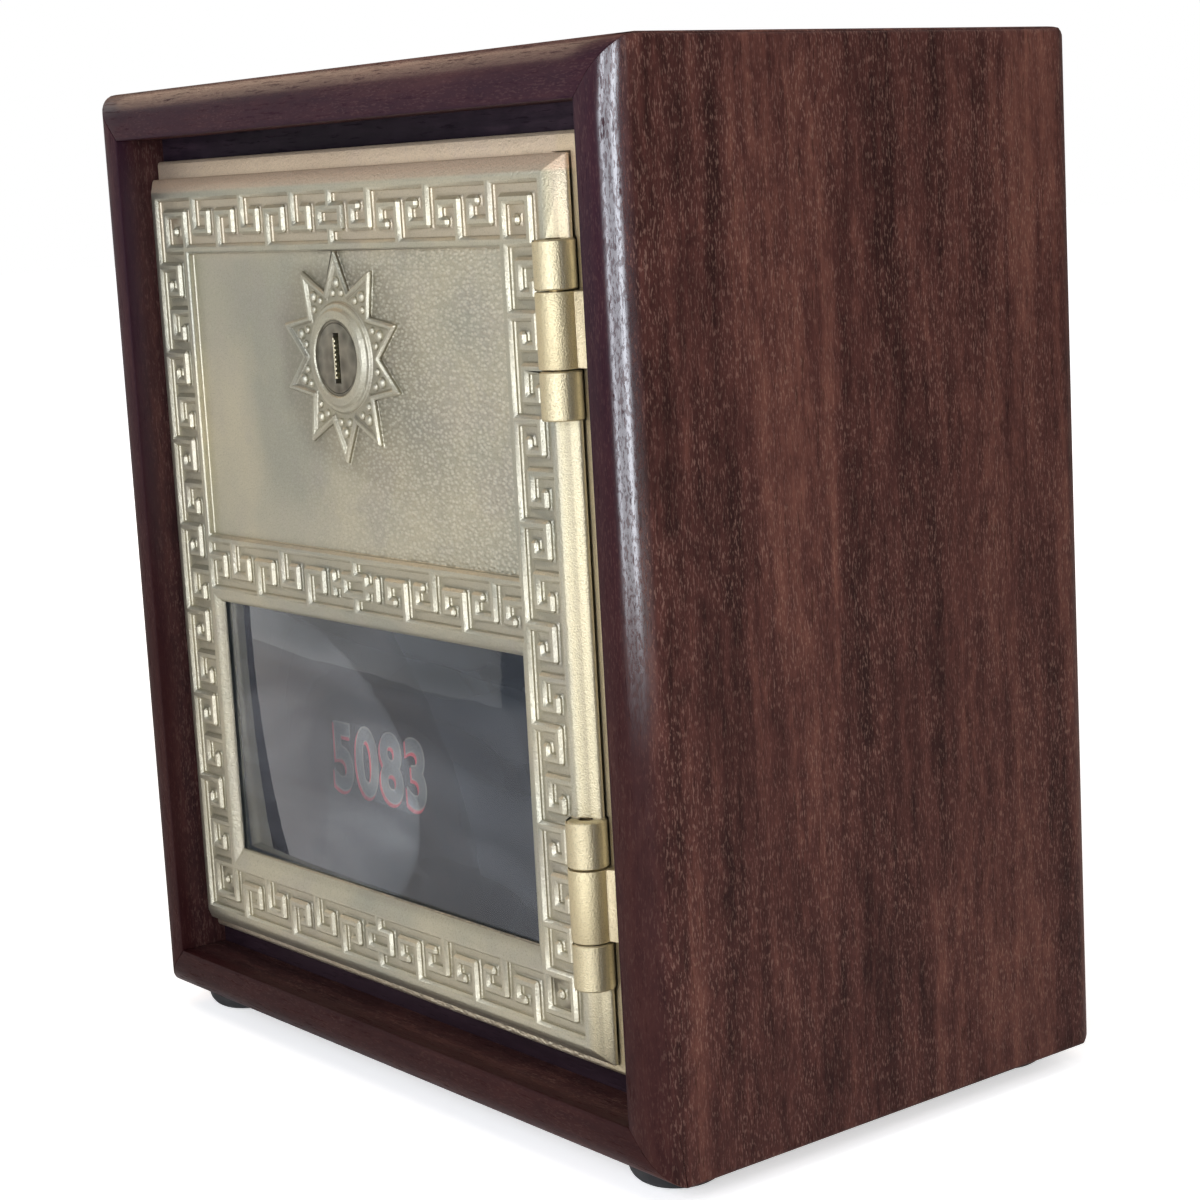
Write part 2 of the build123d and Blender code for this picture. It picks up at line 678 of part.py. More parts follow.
print("box", case_width, case_depth, case_top)
print("hinge axis", round(axis_x, 3), round(axis_y, 3), "hinges at", [round(h, 2) for h in hinge_heights])
print("lock axis", door_centre_x, lock_z, "bolt travel", round(bolt_travel, 4))
print("window", [round(v, 2) for v in (sight_left, sight_right, sight_low, sight_high)])
print("planes", dict(flange=flange_y, face=face_y, plate_back=plate_back, glass_back=round(glass_back, 2),
                     bolt=(round(bolt_front, 2), round(bolt_back, 2)), cover=cover_back, catch=catch_back))
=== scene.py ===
import json
import math
import bmesh
import bpy
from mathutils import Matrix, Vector

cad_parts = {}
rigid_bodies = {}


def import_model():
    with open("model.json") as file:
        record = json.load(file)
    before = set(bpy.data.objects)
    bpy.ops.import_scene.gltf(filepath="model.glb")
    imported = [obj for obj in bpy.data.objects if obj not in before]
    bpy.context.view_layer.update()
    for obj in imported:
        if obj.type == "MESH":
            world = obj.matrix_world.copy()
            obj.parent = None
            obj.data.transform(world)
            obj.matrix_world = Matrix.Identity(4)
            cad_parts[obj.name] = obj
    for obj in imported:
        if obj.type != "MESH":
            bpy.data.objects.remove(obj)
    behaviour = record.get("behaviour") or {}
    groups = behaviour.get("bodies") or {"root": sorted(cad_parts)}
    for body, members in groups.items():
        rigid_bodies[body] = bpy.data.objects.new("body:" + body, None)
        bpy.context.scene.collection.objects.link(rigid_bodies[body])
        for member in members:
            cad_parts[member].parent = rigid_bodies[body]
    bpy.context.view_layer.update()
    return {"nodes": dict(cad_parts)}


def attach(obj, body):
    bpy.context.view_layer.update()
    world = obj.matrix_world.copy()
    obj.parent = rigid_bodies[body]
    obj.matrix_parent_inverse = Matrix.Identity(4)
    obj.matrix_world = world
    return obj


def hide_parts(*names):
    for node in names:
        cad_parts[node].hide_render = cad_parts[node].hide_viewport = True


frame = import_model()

mm = 0.001
print("frame loaded:", len(frame["nodes"]), "nodes")


# selection and edit mode

def takeOnly(piece):
    if bpy.context.object and bpy.context.object.mode != "OBJECT":
        bpy.ops.object.mode_set(mode="OBJECT")
    for other in list(bpy.context.view_layer.objects.selected):
        other.select_set(False)
    piece.select_set(True)
    bpy.context.view_layer.objects.active = piece


def editMode(piece, kind="FACE", choice="SELECT"):
    takeOnly(piece)
    bpy.ops.object.mode_set(mode="EDIT")
    bpy.ops.mesh.select_mode(type=kind)
    bpy.ops.mesh.select_all(action=choice)


def objectMode():
    bpy.ops.object.mode_set(mode="OBJECT")


def editFaces(piece, wanted):  # wanted(centre in mm, normal)
    editMode(piece, "FACE", "DESELECT")
    objectMode()
    for face in piece.data.polygons:
        face.select = wanted(face.center / mm, face.normal)
    bpy.ops.object.mode_set(mode="EDIT")


def editEdges(piece, wanted):  # wanted(first end in mm, second end in mm)
    editMode(piece, "EDGE", "DESELECT")
    objectMode()
    points = piece.data.vertices
    for edge in piece.data.edges:
        ends = [points[i].co / mm for i in edge.vertices]
        edge.select = wanted(*ends)
    bpy.ops.object.mode_set(mode="EDIT")


def bevelChosen(width, steps):
    bpy.ops.mesh.bevel(offset=width * mm, segments=steps, affect="EDGES")
    objectMode()


def extrudeChosen(x, y, z):
    bpy.ops.mesh.extrude_region_move(TRANSFORM_OT_translate={"value": (x * mm, y * mm, z * mm)})
    objectMode()


def cutPlane(piece, point, normal, dropBehind=False):  # a cut line, or an end closed flat
    editMode(piece)
    bpy.ops.mesh.bisect(plane_co=[c * mm for c in point], plane_no=normal, use_fill=dropBehind,
                        clear_inner=dropBehind)
    objectMode()


def settle(piece):  # the piece's place goes into its mesh
    takeOnly(piece)
    bpy.ops.object.transform_apply(location=True, rotation=True, scale=True)


def addBlock(name, low, high):
    centre = [(a + b) / 2 * mm for a, b in zip(low, high)]
    size = [(b - a) * mm for a, b in zip(low, high)]
    bpy.ops.mesh.primitive_cube_add(size=1, location=centre, scale=size)
    piece = bpy.context.object
    piece.name = name
    settle(piece)
    return piece


def addRound(name, centre, radius, depth, alongY=False, sides=48):
    turn = (math.pi / 2, 0, 0) if alongY else (0, 0, 0)
    bpy.ops.mesh.primitive_cylinder_add(vertices=sides, radius=radius * mm, depth=depth * mm,
                                        location=[c * mm for c in centre], rotation=turn)
    piece = bpy.context.object
    piece.name = name
    settle(piece)
    return piece


def useModifier(piece, kind, settings):
    takeOnly(piece)
    modifier = piece.modifiers.new(kind.title(), kind)
    for key, value in settings.items():
        setattr(modifier, key, value)
    bpy.ops.object.modifier_apply(modifier=modifier.name)


def softenEdges(piece, width, steps=2, sharperThan=30):
    useModifier(piece, "BEVEL", {"width": width * mm, "segments": steps, "limit_method": "ANGLE",
                                 "angle_limit": math.radians(sharperThan), "use_clamp_overlap": False})


def carve(piece, tool, operation="DIFFERENCE"):
    useModifier(piece, "BOOLEAN", {"operation": operation, "object": tool, "solver": "EXACT"})
    bpy.data.objects.remove(tool, do_unlink=True)


def smooth(piece, angle=35):
    takeOnly(piece)
    bpy.ops.object.shade_smooth_by_angle(angle=math.radians(angle))


def joinAll(name, parts):
    takeOnly(parts[0])
    for part in parts[1:]:
        part.select_set(True)
    bpy.ops.object.join()
    whole = bpy.context.object
    whole.name = name
    return whole


def coatWith(piece, coat):
    piece.data.materials.clear()
    piece.data.materials.append(coat)


def finish(piece, body, coat, stands=()):
    if coat:
        coatWith(piece, coat)
    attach(piece, body)
    if stands:
        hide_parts(*stands)


def duplicate(source, name):
    piece = source.copy()
    piece.data = source.data.copy()
    piece.parent = None
    piece.name = name
    bpy.context.scene.collection.objects.link(piece)
    return piece


def weighEdges(piece, sharperThan, share):
    mesh = bmesh.new()
    mesh.from_mesh(piece.data)
    weight = mesh.edges.layers.float.new("bevel_weight_edge")
    for edge in mesh.edges:
        if len(edge.link_faces) == 2 and edge.calc_face_angle(0) > math.radians(sharperThan):
            edge[weight] = share((edge.verts[0].co + edge.verts[1].co) / 2 / mm, edge.is_convex)
    mesh.to_mesh(piece.data)
    mesh.free()


cleaning = {"weld": 0.002, "flatWithin": 0.6}  # mm, degrees


def copyNode(node, name, width, steps=2, sharperThan=30, share=None):  # share(middle in mm, convex)
    piece = duplicate(frame["nodes"][node], name)
    takeOnly(piece)
    bpy.ops.mesh.customdata_custom_splitnormals_clear()
    editMode(piece, "VERT")
    bpy.ops.mesh.remove_doubles(threshold=cleaning["weld"] * mm)
    bpy.ops.mesh.dissolve_limited(angle_limit=math.radians(cleaning["flatWithin"]))
    objectMode()
    if share:
        weighEdges(piece, sharperThan, share)
        useModifier(piece, "BEVEL", {"width": width * mm, "segments": steps, "limit_method": "WEIGHT",
                                     "use_clamp_overlap": False})
    else:
        softenEdges(piece, width, steps, sharperThan)
    smooth(piece)
    return piece


# shader maths as Python expressions

class Wire:
    def __init__(self, coat, socket):
        self.coat = coat
        self.socket = socket

    def maths(self, operation, first, second):
        return self.coat.node("ShaderNodeMath", {"operation": operation}, {0: first, 1: second})

    def __add__(self, other):
        return self.maths("ADD", self, other)

    def __radd__(self, other):
        return self.maths("ADD", other, self)

    def __sub__(self, other):
        return self.maths("SUBTRACT", self, other)

    def __rsub__(self, other):
        return self.maths("SUBTRACT", other, self)

    def __mul__(self, other):
        return self.maths("MULTIPLY", self, other)

    def __rmul__(self, other):
        return self.maths("MULTIPLY", other, self)

    def above(self, low, high):  # 0 up to low, 1 from high on, and low may be the larger of the two
        return self.coat.node("ShaderNodeMapRange", {"interpolation_type": "SMOOTHSTEP"},
                              {"Value": self, "From Min": low, "From Max": high})


class Coat:
    def __init__(self, name, settings):
        self.material = bpy.data.materials.new(name)
        self.material.use_nodes = True
        self.tree = self.material.node_tree
        self.tree.nodes.clear()
        self.shader = self.tree.nodes.new("ShaderNodeBsdfPrincipled")
        output = self.tree.nodes.new("ShaderNodeOutputMaterial")
        self.tree.links.new(self.shader.outputs[0], output.inputs[0])
        for socket, value in settings.items():
            self.shader.inputs[socket].default_value = value
        self.object = self.node("ShaderNodeTexCoord", {}, {}, "Object")

    def feed(self, target, value):
        if isinstance(value, Wire):
            self.tree.links.new(value.socket, target)
        else:
            target.default_value = value

    def node(self, kind, settings, sockets, output=0):
        new = self.tree.nodes.new(kind)
        for key, value in settings.items():
            if key == "stops":
                while len(new.color_ramp.elements) < len(value):
                    new.color_ramp.elements.new(1.0)
                for stop, (place, colour) in zip(new.color_ramp.elements, value):
                    stop.position = place
                    stop.color = (*colour, 1.0)
            else:
                setattr(new, key, value)
        for key, value in sockets.items():
            self.feed(new.inputs[key], value)
        return Wire(self, new.outputs[output])

    def place(self, scale=(1, 1, 1), turn=(0, 0, 0), shift=(0, 0, 0)):
        return self.node("ShaderNodeMapping", {}, {"Vector": self.object, "Scale": scale, "Location": shift,
                                                   "Rotation": [math.radians(a) for a in turn]})

    def noise(self, where, scale, detail=3.0, rough=0.5, warp=0.0):
        return self.node("ShaderNodeTexNoise", {}, {"Vector": where, "Scale": scale, "Detail": detail,
                                                    "Roughness": rough, "Distortion": warp})

    def cells(self, where, scale):
        return self.node("ShaderNodeTexVoronoi", {}, {"Vector": where, "Scale": scale})

    def ramp(self, value, stops):
        return self.node("ShaderNodeValToRGB", {"stops": stops}, {"Fac": value})

    def blend(self, amount, first, second):
        first = first if isinstance(first, Wire) else (*first, 1.0)
        second = second if isinstance(second, Wire) else (*second, 1.0)
        return self.node("ShaderNodeMix", {"data_type": "RGBA"}, {0: amount, 6: first, 7: second}, 2)

    def axis(self, letter):  # in mm
        return self.node("ShaderNodeSeparateXYZ", {}, {0: self.object}, letter) * (1 / mm)

    def edges(self):  # convex edges near 1, hollows near 0
        return self.node("ShaderNodeNewGeometry", {}, {}, "Pointiness")

    def bump(self, height, depth, strength=1.0):
        return self.node("ShaderNodeBump", {}, {"Height": height, "Distance": depth * mm,
                                                "Strength": strength})

    def set(self, **sockets):
        for key, value in sockets.items():
            value = (*value, 1.0) if isinstance(value, tuple) else value
            self.feed(self.shader.inputs[key.replace("_", " ")], value)
        return self.material


def darker(colour, share):
    return tuple(c * share for c in colour)


# camera and studio

cameraPlace = {"at": (395.85, -304.02, 167.60), "turn": (80.7739, 3.0856, 51.5304), "lens": 77.849}
studio = {"roomLevel": 0.22, "roomTint": (0.90, 0.93, 1.0), "aimedAt": (0, 0, 0.1),
          "floorSize": 12, "floorAt": -0.0002, "floorTone": (0.93, 0.93, 0.93), "floorGlow": 0.55,
          "glowRise": (0.30, 0.85),
          "lamps": (  # name, azimuth from the front, elevation, distance, width, height, radiance, tint
              ("window", 25, 11, 0.50, 0.50, 0.34, 2.7, (0.88, 0.92, 1.0)),
              ("window_left", 10, 11, 0.50, 0.07, 0.34, 4.6, (0.86, 0.91, 1.0)),
              ("window_right", 41, 11, 0.50, 0.09, 0.34, 4.6, (0.86, 0.91, 1.0)),
              ("right_fill", 92, 34, 1.30, 0.90, 0.80, 1.7, (1.0, 0.93, 0.86)),
              ("left_card", -66, 4, 1.20, 1.50, 0.95, 0.80, (1.0, 0.985, 0.93)),
              ("warm_card", -90, 36, 1.20, 0.80, 0.45, 2.8, (1.0, 0.72, 0.50)),
              ("top_card", 10, 82, 1.10, 0.90, 0.90, 1.2, (1.0, 0.96, 0.92)),
              ("back_card", 165, 35, 1.30, 0.80, 0.80, 1.4, (1.0, 0.98, 0.95)))}


def makeCamera(values):
    data = bpy.data.cameras.new("photo_camera")
    data.sensor_width = 36
    data.lens = values["lens"]
    data.clip_start = 0.01
    camera = bpy.data.objects.new("photo_camera", data)
    camera.location = [c * mm for c in values["at"]]
    camera.rotation_euler = [math.radians(a) for a in values["turn"]]
    bpy.context.scene.collection.objects.link(camera)
    bpy.context.scene.camera = camera


def seenByCamera(tree):  # 1 for what the camera sees directly or through glass, else 0
    path = tree.nodes.new("ShaderNodeLightPath")
    either = tree.nodes.new("ShaderNodeMath")
    either.operation = "MAXIMUM"
    tree.links.new(path.outputs["Is Camera Ray"], either.inputs[0])
    tree.links.new(path.outputs["Is Transmission Ray"], either.inputs[1])
    return either.outputs[0]


def makeWorld(values):
    world = bpy.data.worlds.new("studio")
    bpy.context.scene.world = world
    world.use_nodes = True
    tree = world.node_tree
    tree.nodes.clear()
    output = tree.nodes.new("ShaderNodeOutputWorld")
    mixer = tree.nodes.new("ShaderNodeMixShader")
    room = tree.nodes.new("ShaderNodeBackground")
    white = tree.nodes.new("ShaderNodeBackground")
    room.inputs["Color"].default_value = (*values["roomTint"], 1.0)
    room.inputs["Strength"].default_value = values["roomLevel"]
    white.inputs["Color"].default_value = (1, 1, 1, 1)
    tree.links.new(seenByCamera(tree), mixer.inputs[0])
    tree.links.new(room.outputs[0], mixer.inputs[1])
    tree.links.new(white.outputs[0], mixer.inputs[2])
    tree.links.new(mixer.outputs[0], output.inputs[0])


def makeLamps(values):
    for name, azimuth, elevation, distance, width, height, radiance, tint in values["lamps"]:
        turn, lift = math.radians(azimuth), math.radians(elevation)
        way = Vector((math.sin(turn) * math.cos(lift), -math.cos(turn) * math.cos(lift), math.sin(lift)))
        data = bpy.data.lights.new(name, "AREA")
        data.shape = "RECTANGLE"
        data.size, data.size_y = width, height
        data.energy = radiance * math.pi * width * height
        data.color = tint
        lamp = bpy.data.objects.new(name, data)
        lamp.location = Vector(values["aimedAt"]) + way * distance
        lamp.rotation_euler = (-way).to_track_quat("-Z", "Y").to_euler()
        lamp.visible_camera = False
        bpy.context.scene.collection.objects.link(lamp)


def floorGlow(tree, values):  # the floor's own light hides its far edge in the white ground
    coordinates = tree.nodes.new("ShaderNodeTexCoord")
    reach = tree.nodes.new("ShaderNodeVectorMath")
    reach.operation = "LENGTH"
    fade = tree.nodes.new("ShaderNodeMapRange")
    fade.inputs["From Min"].default_value, fade.inputs["From Max"].default_value = values["glowRise"]
    fade.inputs["To Min"].default_value = values["floorGlow"]
    seen = tree.nodes.new("ShaderNodeMath")
    seen.operation = "MULTIPLY"
    tree.links.new(coordinates.outputs["Object"], reach.inputs[0])
    tree.links.new(reach.outputs["Value"], fade.inputs["Value"])
    tree.links.new(fade.outputs[0], seen.inputs[0])
    tree.links.new(seenByCamera(tree), seen.inputs[1])
    return seen.outputs[0]


def makeFloor(values):
    bpy.ops.mesh.primitive_plane_add(size=values["floorSize"], location=(0, 0, values["floorAt"]))
    floor = bpy.context.object
    floor.name = "studio_floor"
    material = bpy.data.materials.new("pale_floor")
    material.use_nodes = True
    tree = material.node_tree
    shader = tree.nodes["Principled BSDF"]
    shader.inputs["Base Color"].default_value = (*values["floorTone"], 1)
    shader.inputs["Roughness"].default_value = 0.9
    shader.inputs["Specular IOR Level"].default_value = 0.1
    glow = tree.nodes.new("ShaderNodeEmission")
    both = tree.nodes.new("ShaderNodeAddShader")
    tree.links.new(floorGlow(tree, values), glow.inputs["Strength"])
    tree.links.new(shader.outputs[0], both.inputs[0])
    tree.links.new(glow.outputs[0], both.inputs[1])
    tree.links.new(both.outputs[0], tree.nodes["Material Output"].inputs[0])
    floor.data.materials.append(material)


bpy.context.scene.view_settings.view_transform = "Standard"
makeCamera(cameraPlace)
makeWorld(studio)
makeLamps(studio)
makeFloor(studio)
print("camera and studio")


# finishes; two places in one value are where a change starts and where it is full

woodValues = {"dark": (0.026, 0.009, 0.0075), "mid": (0.068, 0.0235, 0.019), "warm": (0.145, 0.056, 0.040),
              # pale flecks are painted glints of the lacquer over open pores
              "fleckGlintTone": (0.34, 0.20, 0.155), "flecks": 0.34,
              # painted shade on the front faces and front rounding, its tone changing with height
              "shadedFrontLow": (0.019, 0.0038, 0.0042), "shadedFrontHigh": (0.020, 0.0068, 0.015),
              "shadedFrontRise": (60, 175), "front": (-48.2, -52.2), "frontShade": 0.78,
              # painted highlight along the rear rounding, which also makes the back faces paler as raw wood
              "backRawAndHighlight": (0.24, 0.135, 0.105), "back": (47.5, 52),
              "insideTone": (0.014, 0.006, 0.008), "inside": None,  # painted shade: the faces round the recess are darker
              "roundStart": (-48.6, -50.4), "roundEnd": (-52.0, -52.9),
              "lacquer": (0.035, 0.12), "lacquerRise": (74, 106)}  # the second is for the front rounding


def walnut(name, along, shift, **changes):
    values = {**woodValues, **changes}
    coat = Coat(name, {"Specular IOR Level": 0.05, "Coat Roughness": 0.17, "Coat IOR": 1.9})

    def grain(stretch):  # the pattern runs 1/stretch times longer along the board
        scale = {"X": (stretch, 1, 1), "Y": (1, stretch, 1), "Z": (1, 1, stretch)}[along]
        return coat.place(scale, shift=shift)

    figure = coat.noise(grain(0.08), scale=80, detail=3, rough=0.5, warp=0.5)
    cloud = coat.noise(grain(0.45), scale=95, detail=3, rough=0.55, warp=0.6)
    streak = coat.noise(grain(0.06), scale=320, detail=4, rough=0.6, warp=0.3)
    mottle = coat.noise(grain(0.38), scale=450, detail=3, rough=0.6, warp=0.4)
    fibre = coat.noise(grain(0.10), scale=1800, detail=3, rough=0.65)
    glint = coat.noise(grain(0.27), scale=3100, detail=2, rough=0.6)
    pores = fibre.above(0.57, 0.67)
    # painted glints: pale flecks where the lacquer sits over open pores
    flecks = glint.above(0.52, 0.66) * (cloud.above(0.30, 0.62) * 0.6 + 0.4)

    tone = figure * 0.40 + cloud * 0.11 + streak * 0.26 + mottle * 0.22 + fibre * 0.13 - 0.06
    colour = coat.ramp(tone, ((0.40, values["dark"]), (0.50, values["mid"]), (0.62, values["warm"])))
    colour = coat.blend(pores * 0.5, colour, darker(values["dark"], 0.45))
    colour = coat.blend(flecks * values["flecks"], colour, values["fleckGlintTone"])
    across, up = coat.axis("Y"), coat.axis("Z")
    # painted shade on the faces round the recess, and low on the front panel
    if values["inside"]:
        letter, start, full = values["inside"]
        colour = coat.blend(coat.axis(letter).above(start, full) * 0.6, colour, values["insideTone"])
    # painted shade: the front faces and front rounding darker and more purple, changing with height
    front = coat.blend(up.above(*values["shadedFrontRise"]), values["shadedFrontLow"], values["shadedFrontHigh"])
    colour = coat.blend(across.above(*values["front"]) * values["frontShade"], colour, front)
    # painted highlight on the rear rounding; the back faces get it too, as paler raw wood
    colour = coat.blend(across.above(*values["back"]) * 0.35, colour, values["backRawAndHighlight"])

    turned = across.above(*values["roundStart"]) * (1 - across.above(*values["roundEnd"]))
    plain, rounding = values["lacquer"]
    lacquer = turned * up.above(*values["lacquerRise"]) * (rounding - plain) + plain
    height = fibre * 0.35 + glint * 0.4 + streak * 0.2 - pores * 0.8
    return coat.set(Base_Color=colour, Roughness=0.42 - turned * 0.14 + fibre * 0.2 + pores * 0.2,
                    Coat_Weight=lacquer * (1.25 - glint.above(0.46, 0.60) * 0.75 - pores * 0.5),
                    Normal=coat.bump(height, depth=0.07, strength=0.6))


castValues = {"tone": (0.39, 0.385, 0.315), "pale": (0.53, 0.49, 0.37), "gold": (0.60, 0.51, 0.31),
              # on the next line: painted shade for grooves and hollows, convex edges lighter as rubbed wear
              # and painted highlight, and a painted highlight on the pebble tops
              "grooveShade": (0.17, 0.145, 0.105), "wearAndHighlight": (0.62, 0.57, 0.44), "pebbleHighlight": (0.80, 0.76, 0.63),
              # the dust colour and its share stand for dust and a painted warm reflection on upward faces
              "dust": (0.66, 0.46, 0.31), "dusty": 0.60, "rough": 0.38,
              "face": -47.9,  # the fret's tops in y; the next four are mm behind them
              "proud": (-0.45, -0.75), "sunk": (0.4, 1.1), "behind": (1.15, 1.35), "deep": (1.7, 2.3),
              "rightward": (-35, 25), "panelRight": (52, 54), "hingeSide": (57.6, 59.4),
              "topRim": (155, 160), "panelTop": (160, 163), "topBevel": (169.0, 169.9)}


def castBrass(name, **changes):
    values = {**castValues, **changes}
    coat = Coat(name, {})
    where = coat.place()
    patina = coat.noise(where, scale=30, detail=4, rough=0.55)
    stain = coat.noise(where, scale=75, detail=5, rough=0.6, warp=0.5)
    skin = coat.noise(where, scale=1250, detail=2, rough=0.5, warp=0.8)
    grit = coat.noise(where, scale=3400, detail=2, rough=0.6)
    leather = coat.cells(coat.place((0.7, 1, 1.15)), scale=1300)

    depth = coat.axis("Y") - values["face"]
    across, up = coat.axis("X"), coat.axis("Z")
    sunk, behind, deep = (depth.above(*values[key]) for key in ("sunk", "behind", "deep"))
    proud = depth.above(*values["proud"])
    hingeSide = across.above(*values["hingeSide"])
    panel = behind * (1 - across.above(*values["panelRight"])) * (1 - up.above(*values["panelTop"]))
    pebbles = panel * (across.above(*values["rightward"]) * 0.9 + 0.1)
    # dust and a painted warm reflection on the top bevel and the upward faces of the fret
    dust = (up.above(*values["topBevel"]) + up.above(*values["topRim"]) * sunk * 0.3) * values["dusty"]
    edge = coat.edges().above(0.52, 0.60)
    hollow = 1 - coat.edges().above(0.42, 0.49)

    red, green, blue = values["pale"]
    colour = coat.ramp(patina, ((0.38, values["tone"]), (0.62, values["pale"])))
    colour = coat.blend(stain.above(0.50, 0.66) * 0.35, colour, (red * 0.78, green * 0.78, blue * 0.92))
    colour = coat.blend(proud * 0.75 + hingeSide * 0.6, colour, values["gold"])
    # painted shade in the grooves, concave edges and deepest parts
    colour = coat.blend((sunk - behind) * 0.30 + hollow * 0.60 + deep * 0.5, colour, values["grooveShade"])
    # convex edges lighter: rubbed wear and a painted highlight
    colour = coat.blend(edge * 0.35, colour, values["wearAndHighlight"])
    # painted highlight on the pebble tops, stronger towards the right
    colour = coat.blend((1 - leather.above(0.20, 0.62)) * pebbles * 0.42, colour, values["pebbleHighlight"])
    # dust and painted warm reflection; the metal is made less metallic there too
    colour = coat.blend(dust, colour, values["dust"])
    colour = coat.blend(grit.above(0.52, 0.66) * 0.30, colour, darker(values["tone"], 0.62))
    height = skin * (0.42 - hingeSide * 0.36) + grit * (0.20 + hingeSide * 0.14 + proud * 0.10)
    return coat.set(Base_Color=colour, Metallic=1 - dust * 0.7,
                    Roughness=values["rough"] + grit * 0.16 + hollow * 0.15,
                    Normal=coat.bump(height - leather * pebbles * 0.7, depth=0.30))


def rolledBrass(name, tone=(0.62, 0.46, 0.22), pale=(0.80, 0.64, 0.34), rough=0.26):
    coat = Coat(name, {"Metallic": 1.0})
    streak = coat.noise(coat.place((1, 1, 0.05)), scale=900, detail=3, rough=0.6)
    patina = coat.noise(coat.place(), scale=60, detail=4)
    colour = coat.ramp(patina * 0.7 + streak * 0.3, ((0.3, tone), (0.7, pale)))
    return coat.set(Base_Color=colour, Roughness=rough + streak * 0.14,
                    Normal=coat.bump(streak, depth=0.02, strength=0.4))


def platedSteel(name, tone=(0.42, 0.42, 0.42), pale=(0.62, 0.62, 0.60), rough=0.3, stain=(0.18, 0.15, 0.12),
                wearAndHighlight=(0.70, 0.69, 0.66)):
    coat = Coat(name, {"Metallic": 1.0})
    where = coat.place()
    spangle = coat.cells(where, scale=380)
    grit = coat.noise(where, scale=1500, detail=3, rough=0.6)
    patch = coat.noise(where, scale=90, detail=4, rough=0.6)
    colour = coat.ramp(spangle, ((0.1, tone), (0.8, pale)))
    colour = coat.blend(patch.above(0.52, 0.70) * 0.55, colour, stain)
    # convex edges lighter: rubbed wear and a painted highlight
    if wearAndHighlight:
        colour = coat.blend(coat.edges().above(0.53, 0.62) * 0.7, colour, wearAndHighlight)
    return coat.set(Base_Color=colour, Roughness=rough + grit * 0.18 + patch * 0.08,
                    Normal=coat.bump(grit, depth=0.03, strength=0.4))


def rubber(name, tone=(0.012, 0.012, 0.013), dusted=(0.045, 0.043, 0.042)):
    coat = Coat(name, {"Specular IOR Level": 0.4})
    grit = coat.noise(coat.place(), scale=900, detail=3, rough=0.6)
    dust = coat.noise(coat.place(), scale=130, detail=4, rough=0.6)
    return coat.set(Base_Color=coat.ramp(dust, ((0.35, tone), (0.75, dusted))), Roughness=0.48 + grit * 0.2,
                    Normal=coat.bump(grit, depth=0.06, strength=0.5))


def windowPane(name, smoky=(0.36, 0.41, 0.48), clear=(0.74, 0.80, 0.88), speck=(0.9, 0.9, 0.88)):
    coat = Coat(name, {"Transmission Weight": 0.965, "IOR": 1.52})
    wave = coat.noise(coat.place((1, 1, 2.6), turn=(0, 28, 0)), scale=20, detail=2, rough=0.5, warp=1.2)
    specks = coat.noise(coat.place(), scale=700, detail=3, rough=0.7)
    smear = coat.ramp(wave, ((0.40, smoky), (0.60, clear)))
    colour = coat.blend(specks.above(0.66, 0.78) * 0.5, smear, speck)
    return coat.set(Base_Color=colour, Roughness=0.02 + specks.above(0.60, 0.80) * 0.10,
                    Normal=coat.bump(wave, depth=0.25, strength=0.25))


def paint(name, base, deep, rough):
    coat = Coat(name, {})
    grit = coat.noise(coat.place(), scale=900, detail=3, rough=0.6)
    wear = coat.noise(coat.place(), scale=240, detail=4, rough=0.65)
    return coat.set(Base_Color=coat.ramp(wear, ((0.35, base), (0.72, deep))), Roughness=rough + grit * 0.2,
                    Normal=coat.bump(grit, depth=0.01, strength=0.3))


doorBrass = castBrass("door_cast_brass")
flangeBrass = castBrass("flange_cast_brass", face=-46.0, tone=(0.55, 0.47, 0.35), pale=(0.68, 0.59, 0.44),
                        rough=0.42, dusty=0.3)
pinBrass = rolledBrass("pin_brass")
stripBrass = rolledBrass("strip_brass", (0.56, 0.44, 0.24), (0.74, 0.60, 0.34), 0.32)
waferBrass = rolledBrass("wafer_brass", (0.56, 0.52, 0.36), (0.74, 0.69, 0.50), 0.3)
# the shell's last colour is a painted highlight round its rim, with wear
shellMetal = platedSteel("shell_plate", (0.12, 0.11, 0.085), (0.24, 0.22, 0.17), 0.28, (0.06, 0.05, 0.035),
                         (0.86, 0.80, 0.62))
plugMetal = platedSteel("plug_plate", (0.13, 0.12, 0.095), (0.26, 0.24, 0.19), 0.26, (0.07, 0.06, 0.045),
                        None)
zinc = platedSteel("zinc_plate")
darkSteel = platedSteel("bolt_steel", (0.34, 0.33, 0.32), (0.52, 0.51, 0.49), 0.34)
black = rubber("foot_rubber")
pane = windowPane("window_pane")
bronze = paint("bronze_fill", (0.20, 0.17, 0.12), (0.11, 0.10, 0.08), 0.40)
giltLine = paint("gilt_line", (0.40, 0.33, 0.23), (0.26, 0.21, 0.14), 0.35)
redShade = paint("red_shade", (0.85, 0.02, 0.03), (0.55, 0.012, 0.02), 0.4)
print("finishes")


# wooden case

caseSizes = {"half": 83.5, "front": -53.0, "back": 53.0, "low": 3.6, "high": 189.6, "board": 9.5,
             "round": 6.4, "roundSteps": 10, "cornerRound": 1.2, "cornerSteps": 4, "easing": 0.22,
             "seam": 0.04, "slotLength": 38.0, "slotWidth": 4.8, "slotSteps": 8,
             "over": 4,  # a cutter stands out so far on both sides
             "caseLine": 12, "slotLine": 2}  # cut lines stand so far from the outer faces and from the slot
